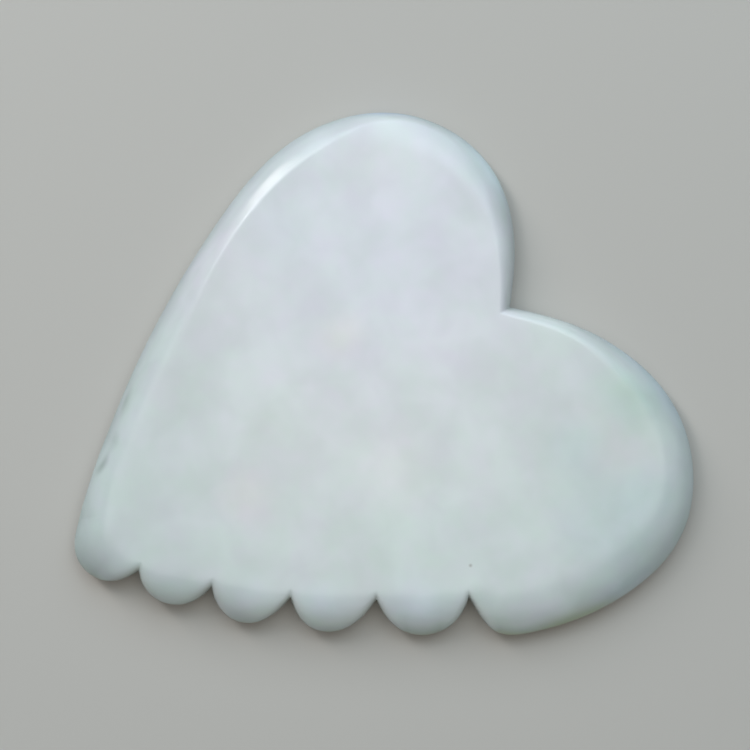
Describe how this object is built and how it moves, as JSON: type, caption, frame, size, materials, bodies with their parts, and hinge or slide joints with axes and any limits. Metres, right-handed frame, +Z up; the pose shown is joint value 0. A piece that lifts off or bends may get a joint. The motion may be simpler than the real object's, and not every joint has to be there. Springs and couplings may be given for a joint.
{
  "type": "gua sha scraper",
  "caption": "Flat heart-shaped gua sha board in polished white jade, with rounded scraping edges, a pointed cleft and a scalloped comb along one side.",
  "frame": {"origin": "middle of the board's bounding box, on the face it rests on", "axes": "+Z up through the thickness, +Y along the heart's axis from its tip to its cleft, +X towards the comb side"},
  "size_m": [0.0756, 0.0802, 0.006],
  "materials": {
    "white_jade": "polished, waxy and slightly translucent"
  },
  "bodies": {
    "root": {"jade_board": "white_jade"}
  },
  "joints": []
}
